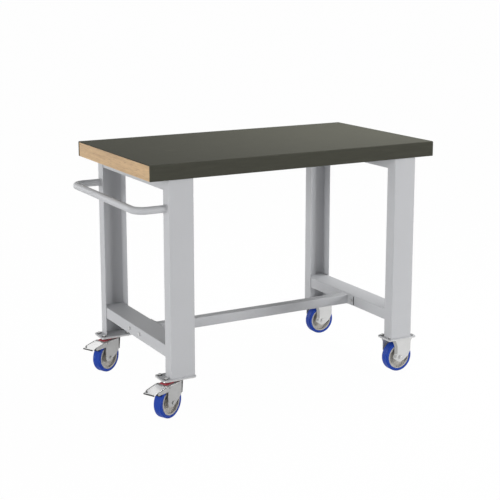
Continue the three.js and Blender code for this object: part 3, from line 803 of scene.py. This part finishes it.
def makeFork(size):
    # one pressed sheet: a crown, two cheeks and a half-round wall behind the kingpin
    top, outer, front = size["top"], size["outer"], size["front"]
    high, trail, boss = size["axle"], size["trail"], size["boss"]
    leanX, leanZ = size["cheekLean"]
    back = arc(0, 0, outer, -90, 90, steps=24)
    side = [(front, top)] + arc(front + boss, high, boss, 180, 270, steps=8)
    under = arc(-trail, high, boss, 270, size["bossTurn"], steps=6)
    side += under + curve(under[-1], (leanX, high + leanZ), (0, top - size["wall"]), steps=10)[1:]
    side += [(0, top)]
    fork = startOutline("fork", [(x, y, top) for x, y in [(front, -outer)] + back + [(front, outer)]])
    near = startOutline("cheekNear", [(x, -outer, z) for x, z in side])
    far = startOutline("cheekFar", [(x, outer, z) for x, z in side])
    joinPieces(fork, near, far)
    faceOutwards(fork)

    def onTop(a, b):
        return min(a.z, b.z) > top - slack

    def behind(a, b):
        return min(a.x, b.x) > -slack

    selectParts(fork, "EDGE", lambda a, b: behind(a, b) and onTop(a, b))
    extrudeBy((0, 0, -size["wall"]))
    bpy.ops.transform.resize(value=(size["wallLean"], 1, 1), center_override=(0, 0, 0))
    faceOutwards(fork)
    roundEdges(fork, lambda a, b: onTop(a, b) and (
        min(abs(a.y), abs(b.y)) > outer - slack or behind(a, b)), size["fold"], segments=5)
    thicken(fork, size["sheet"], use_even_offset=True)
    softenEdges(fork, *size["soft"])
    markFaces(fork, lambda middle, normal: middle.x > size["wallShadeFrom"]
              and abs(normal.z) < tilted)  # painted shade: the rear wall takes the near-black steel, for the dark reflection on it
    return fork


# Dust seal: a flat ring with a tongue towards the pedal
sealSize = {"z": (134.3, 136.8), "front": -74, "half": 18, "neck": -40, "ring": 23, "turn": 150,
            "soft": (0.7, 3, 40)}


def makeSeal(size):
    front, half, neck, turn = size["front"], size["half"], size["neck"], size["turn"]
    low, high = size["z"]
    ring = [(front, -half), (neck, -half)] + arc(0, 0, size["ring"], -turn, turn, steps=30)
    ring += [(neck, half), (front, half)]
    seal = prism("seal", [(x, y, low) for x, y in ring], (0, 0, high - low))
    softenEdges(seal, *size["soft"])
    return seal


# Brake pedal: a sloping deck with a turned lip and a stud, two gutters, a strap and two skirts
brake = {"root": -82.3, "tip": -158, "slope": 9, "rootTop": 134, "sheet": 2.5, "inner": 28.4, "outer": 30.9,
         "deck": 26, "strap": 7, "lip": 5.5, "lipRound": 3, "lipDark": 1, "soft": (0.7, 3, 40),
         "skirtRoot": 21, "skirtTip": 9.5, "skirtEnd": -140, "skirtRound": 4, "toe": (6, 5), "toeFall": 0.8,
         "rootRise": 0.6, "ear": 6.7, "earHalf": 3, "earLean": 5, "backLean": (6, 8), "pin": (-70, 128.1),
         "stud": 3.4, "studAt": (-147, 19), "studHigh": 2.4, "studIn": 0.8,
         "gutter": 1.4, "gutterIn": 1, "gutterOver": 0.5}


def onPedal(x, drop=0):
    # a point on the pedal's sloping top, or that far below it
    fall = math.tan(math.radians(brake["slope"]))
    return x, brake["rootTop"] - (brake["root"] - x) * fall - drop


def skirtOutline(size):
    root, end, bend = size["root"], size["skirtEnd"], size["skirtRound"]
    pinX, pinZ = size["pin"]
    ear, half, top = pinX + size["ear"], size["earHalf"], size["rootTop"]
    toeX, toeZ = size["toe"]
    leanX, leanZ = size["backLean"]
    toeLow = onPedal(end, size["skirtTip"])[1]
    skirt = curve((ear, pinZ + half), (pinX + size["earLean"], top), (pinX - half, top), steps=5)
    skirt += [onPedal(root)] + curve(onPedal(end + bend), onPedal(end), onPedal(end, bend), steps=4)
    skirt += curve((end, toeLow + toeZ), (end, toeLow), (end + toeX, toeLow - size["toeFall"]), steps=5)
    skirt += [(root - bend, top - size["skirtRoot"] + size["rootRise"])]
    low = onPedal(root, size["skirtRoot"])
    return skirt + curve(low, (root + leanX, pinZ - leanZ), (ear, pinZ - half), steps=5)


def makePedal(size):
    root, tip, end, sheet = size["root"], size["tip"], size["skirtEnd"], size["sheet"]
    deckHalf, inner, bend = size["deck"], size["inner"], size["lipRound"]
    tipTop = onPedal(tip)[1]
    profile = [onPedal(root)] + curve(onPedal(tip + bend), onPedal(tip), onPedal(tip, bend), steps=5)
    profile += [onPedal(tip, size["lip"]), (tip + sheet, tipTop - size["lip"]),
                (tip + sheet, tipTop - sheet), onPedal(root, sheet)]
    deck = prism("pedal", [(x, -deckHalf, z) for x, z in profile], (0, 2 * deckHalf, 0))
    studX, studY = size["studAt"]
    studTop = onPedal(studX)[1]
    stud = makeRod("stud", size["stud"], studTop - sheet + size["studIn"], studTop + size["studHigh"])
    stud.data.transform(moveBy(studX, studY, 0))
    back = root - size["strap"]
    band = [onPedal(root), onPedal(back), onPedal(back, sheet), onPedal(root, sheet)]
    strap = prism("strap", [(x, -inner, z) for x, z in band], (0, 2 * inner, 0))
    sides = [prism("skirt", [(x, y, z) for x, z in skirtOutline(size)], (0, sheet, 0))
             for y in (-size["outer"], inner)]
    first, last, over = back + size["gutterIn"], end + size["gutterIn"], size["gutterOver"]
    trough = [onPedal(first, size["gutter"]), onPedal(last, size["gutter"]), onPedal(last, sheet),
              onPedal(first, sheet)]
    gutters = [prism("gutter", [(x, y, z) for x, z in trough], (0, inner - deckHalf + 2 * over, 0))
               for y in (-inner - over, deckHalf - over)]
    pedal = joinPieces(deck, strap, *sides, *gutters)
    softenEdges(pedal, *size["soft"])
    joinPieces(pedal, stud)

    def finishOf(middle, normal):
        if abs(middle.y) > inner - slack:
            return 2  # painted shade: the skirts take the darker zinc, so the sides read darker than the deck
        # painted shade: the lip's face, the gutter floors and the stud head take the near-black steel, for
        # the shade along the tip and edges and in a hole at the stud
        lip = middle.x < tip + size["lipDark"] and normal.x < -tilted
        gutter = deckHalf < abs(middle.y) and end < middle.x < back and normal.z > tilted
        fromStud = math.hypot(middle.x - studX, middle.y - studY)
        studHead = fromStud < size["stud"] + slack and middle.z > onPedal(middle.x)[1]
        return lip or gutter or studHead

    markFaces(pedal, finishOf)
    return pedal


# Brake shoe: a block under the pedal, hollowed to the tread
shoeSize = {"radius": 70.2, "arc": (148, 125), "half": 14, "gap": 0.3, "soft": (0.8, 2, 40)}


def makeShoe(size):
    ring = arc(-castor["trail"], castor["axle"], size["radius"], *size["arc"], steps=8)
    under = [onPedal(x, brake["sheet"] + size["gap"]) for x in (ring[-1][0], ring[0][0])]
    shoe = prism("shoe", [(x, -size["half"], z) for x, z in ring + under], (0, 2 * size["half"], 0))
    softenEdges(shoe, *size["soft"])
    return shoe


# Pedal pin: two domed heads, one at each skirt
pinSize = {"gap": 0.4, "head": ((2.5, 0), (4.5, 0), (4.5, 1), (3.4, 2), (pole, 2.25)), "facets": 24}


def makePin(size):
    pinX, pinZ = brake["pin"]
    start = brake["outer"] + size["gap"]
    side = [(radius, start + along) for radius, along in size["head"]]
    ring = [(radius, -along) for radius, along in reversed(side)] + side
    pin = spinAboutY("pin", ring, size["facets"])
    pin.data.transform(moveBy(pinX, 0, pinZ))
    return pin


# Swivel race: a ring with a groove round it
raceSize = {"profile": ((7.4, 134.3), (20, 134.3), (20, 136.6), (18.6, 137.4), (18.6, 138.6), (20, 139.4),
                        (20, 141.7), (7.4, 141.7)), "facets": 48}


def makeRace(size):
    race = spinAboutY("race", size["profile"], size["facets"])
    race.data.transform(turnBy(90, "X"))
    return race


# Fixed bracket: a plate with two flared cheeks, each rolled inwards along its front
bracketSize = {"flat": -14, "flatZ": 108, "flatFlare": -31, "flatLean": (4, 16), "plateIn": 1, "boss": 20,
               "bossArc": (135, 300), "heel": 51, "heelZ": (90, 120), "heelLean": (42, 58), "flare": 64,
               "flareLean": (1, 10), "roll": (-12, 6), "rollFrom": 0.5, "rollEnd": 0.8, "rollFade": 0.7,
               "rollLost": 0.9, "fold": 3, "soft": (0.5, 2, 45), "rollShadeLean": (0.3, 0.8), "rollShadeUp": 0.3,
               "rollShadeX": 40, "rollShadeDrop": 1}


def cheekOutline(high, low, shape):
    flat, heel, top = shape["flat"], shape["heel"], low + shape["plateIn"]
    under = arc(0, high, shape["boss"], *shape["bossArc"], steps=15)
    leanX, leanZ = shape["flatLean"]
    side = curve((shape["flatFlare"], top), (flat - leanX, low - leanZ), (flat, shape["flatZ"]), steps=6)
    side += under + curve(under[-1], shape["heelLean"], (heel, shape["heelZ"][0]), steps=8)[1:]
    leanX, leanZ = shape["flareLean"]
    flare = (shape["flare"], top)
    return side + curve((heel, shape["heelZ"][1]), (heel + leanX, low - leanZ), flare, steps=8)


def makeBracket(size, shape):
    low = feet["castor"][0]
    plate = makePlate("bracket", "castor")
    high, outer, boss = size["axle"], size["outer"], shape["boss"]
    side = cheekOutline(high, low, shape)
    sheet = joinPieces(startOutline("cheekNear", [(x, -outer, z) for x, z in side]),
                       startOutline("cheekFar", [(-x, outer, z) for x, z in side]))
    selectParts(sheet, "FACE", lambda middle, normal: normal.y * middle.y < 0)
    bpy.ops.mesh.flip_normals()
    rollX, rollY = shape["roll"]
    for facing in (-1, 1):
        selectParts(sheet, "EDGE", lambda a, b: a.y * facing > 0
                    and min(a.x * facing, b.x * facing) > -shape["flat"] - shape["rollFrom"]
                    and min(a.z, b.z) > high - boss * shape["rollEnd"])
        roll = Vector((-facing * rollX, -facing * rollY, 0))
        extrudeBy(roll)
        leaveEdit()
        for corner in sheet.data.vertices:  # the roll dies away under the boss
            if corner.select:
                fade = min(max((high - corner.co.z / mm) / (boss * shape["rollFade"]), 0), 1)
                corner.co -= roll * mm * fade * shape["rollLost"]
    folds = [(p, q) for p, q in foldEnds(sheet) if min(abs(p.y), abs(q.y)) > outer - slack]
    roundFolds(sheet, folds, shape["fold"], segments=4)
    thicken(sheet, size["sheet"])
    softenEdges(sheet, *shape["soft"])
    bracket = joinPieces(plate, sheet)
    leanFrom, leanTo = shape["rollShadeLean"]
    markFaces(bracket, lambda middle, normal: leanFrom < abs(normal.x) < leanTo
              and abs(normal.z) < shape["rollShadeUp"] and high < middle.z < low - shape["rollShadeDrop"]
              and abs(middle.x) < shape["rollShadeX"])  # painted shade: the rolled edges take the darker fastener zinc, for the shade they fall in
    return bracket


def makeCastors(size):
    tyre, hub = makeTyre(wheel), makeHub(wheel)
    axleBolt, axleNut = makeAxle(axle)
    fork, seal, pedal, shoe = makeFork(size), makeSeal(sealSize), makePedal(brake), makeShoe(shoeSize)
    pin, race, bracket = makePin(pinSize), makeRace(raceSize), makeBracket(size, bracketSize)
    plate = makePlate("castorPlate", "castor")
    for facing, row in rows:
        left, right = row + "_left", row + "_right"
        middle = moveBy(feet["left"], facing * feet["y"], 0)
        turned = middle @ turnBy(size["turn"], "Z")
        hubAt = turned @ moveBy(-size["trail"], 0, size["axle"])
        fixedAt = moveBy(feet["right"], facing * feet["y"], 0)
        fixedHub = fixedAt @ moveBy(0, 0, size["axle"])
        body, wheelBody, brakeBody = "castor_" + left, "wheel_" + left, "brake_" + left
        pedalOthers = (shadeSteelFinish, shadedZincFinish)
        for source, place, rides, slotName, finish, node, others in (
                (plate, middle, "table", "zinc", zincFinish, "castor_plate_" + left, ()),
                (race, middle, "table", "zinc", fastenerAndShadeZinc, "swivel_race_" + left, ()),
                (fork, turned, body, "zinc", shadedZincFinish, "fork_" + left, (shadeSteelFinish,)),
                (seal, turned, body, "seal", sealFinish, "dust_seal_" + left, ()),
                (pin, turned, body, "zinc", fastenerAndShadeZinc, "pedal_pin_" + left, ()),
                (axleBolt, hubAt, body, "zinc", shadedZincFinish, "axle_bolt_" + left, ()),
                (axleNut, hubAt, body, "zinc", fastenerAndShadeZinc, "axle_nut_" + left, ()),
                (pedal, turned, brakeBody, "zinc", pedalFinish, "brake_pedal_" + left, pedalOthers),
                (shoe, turned, brakeBody, "shoe", shoeFinish, "brake_shoe_" + left, ()),
                (tyre, hubAt, wheelBody, "tyre", tyreFinish, "tyre_" + left, ()),
                (hub, hubAt, wheelBody, "hub", hubFinish, "wheel_hub_" + left, ()),
                (bracket, fixedAt, "table", "zinc", zincFinish, "fixed_bracket_" + right, (fastenerAndShadeZinc,)),
                (axleBolt, fixedHub, "table", "zinc", zincFinish, "axle_bolt_" + right, ()),
                (axleNut, fixedHub, "table", "zinc", fastenerAndShadeZinc, "axle_nut_" + right, ()),
                (tyre, fixedHub, "wheel_" + right, "tyre", tyreFinish, "tyre_" + right, ()),
                (hub, fixedHub, "wheel_" + right, "hub", hubFinish, "wheel_hub_" + right, ())):
            piece = copyTo(source, node + "_shown", place)
            finishPiece(piece, rides, finish, [node], others)
        for node in ("kingpin_" + left, "axle_sleeve_" + left, "axle_sleeve_" + right):
            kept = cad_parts[node].data
            kept.materials.clear()
            kept.materials.append(fastenerAndShadeZinc)
    for source in (tyre, hub, axleBolt, axleNut, fork, seal, pedal, shoe, pin, race, bracket, plate):
        bpy.data.objects.remove(source)


makeCastors(castor)
print("castors made")

# Floor, light and camera, in metres; each light is a place, a width and a power
studio = {"floor": 300, "floorShade": (0.88, 0.88, 0.88, 1), "floorRough": 0.9, "floorGlow": 0.985,
          "white": (1, 1, 1, 1), "worldWhite": 1.0, "worldLight": 0.28, "aim": (0, 0, 0.5),
          "key": ((6.6, -5.4, 2.0), 3.0, 375), "fill": ((-8.0, -3.2, 1.6), 3.2, 372),
          "top": ((0.95, 0.1, 2.2), 1.2, 35), "back": ((-4.0, 7.2, 1.8), 3.0, 110)}


def seenAsWhite(tree):
    # one for rays that show the background: straight, mirrored or through glass
    seen = addNode(tree, "ShaderNodeLightPath").outputs
    direct = addMath(tree, "MAXIMUM", seen["Is Camera Ray"], seen["Is Glossy Ray"])
    return addMath(tree, "MAXIMUM", direct, seen["Is Transmission Ray"])


def mixShaders(tree, share, a, b, output):
    mix = addNode(tree, "ShaderNodeMixShader", {0: share, 1: a.outputs[0], 2: b.outputs[0]})
    tree.links.new(mix.outputs[0], tree.nodes[output].inputs["Surface"])


def makeFloor(look):
    clearSelection()
    bpy.ops.mesh.primitive_plane_add(size=look["floor"])
    floor = bpy.context.object
    floor.name = "studioFloor"
    finish = bpy.data.materials.new("paleFloor")
    finish.use_nodes = True
    tree = finish.node_tree
    base = tree.nodes["Principled BSDF"]
    base.inputs["Base Color"].default_value = look["floorShade"]
    base.inputs["Roughness"].default_value = look["floorRough"]
    glow = addNode(tree, "ShaderNodeEmission", {"Color": look["white"], "Strength": 1.0})
    share = addMath(tree, "MULTIPLY", seenAsWhite(tree), look["floorGlow"])
    mixShaders(tree, share, base, glow, "Material Output")
    floor.data.materials.append(finish)


def makeLights(look):
    world = bpy.data.worlds.new("studioWhite")
    bpy.context.scene.world = world
    world.use_nodes = True
    tree = world.node_tree
    light = tree.nodes["Background"]
    light.inputs["Color"].default_value = look["white"]
    light.inputs["Strength"].default_value = look["worldLight"]
    white = addNode(tree, "ShaderNodeBackground", {"Color": look["white"], "Strength": look["worldWhite"]})
    mixShaders(tree, seenAsWhite(tree), light, white, "World Output")
    for name in ("key", "fill", "top", "back"):
        place, width, power = look[name]
        clearSelection()
        bpy.ops.object.light_add(type="AREA", location=place)
        lamp = bpy.context.object
        lamp.name = name + "Light"
        lamp.data.shape = "DISK"
        lamp.data.size = width
        lamp.data.energy = power
        aim = Vector(look["aim"]) - lamp.location
        lamp.rotation_euler = aim.to_track_quat("-Z", "Y").to_euler()


makeFloor(studio)
makeLights(studio)
view = {"place": (-2.3289, -4.1338, 1.6412), "yaw": 0.5082, "pitch": 0.1922, "lensPixels": 1186.2,
        "widePixels": 500, "sensor": 36, "shift": -0.1}
clearSelection()
bpy.ops.object.camera_add(location=view["place"], rotation=(math.pi / 2 - view["pitch"], 0, -view["yaw"]))
camera = bpy.context.object
camera.data.sensor_width = view["sensor"]
camera.data.lens = view["lensPixels"] / view["widePixels"] * view["sensor"]
camera.data.shift_y = view["shift"]
bpy.context.scene.camera = camera
bpy.context.scene.view_settings.view_transform = "Standard"
print("studio and camera set")

bpy.context.view_layer.update()
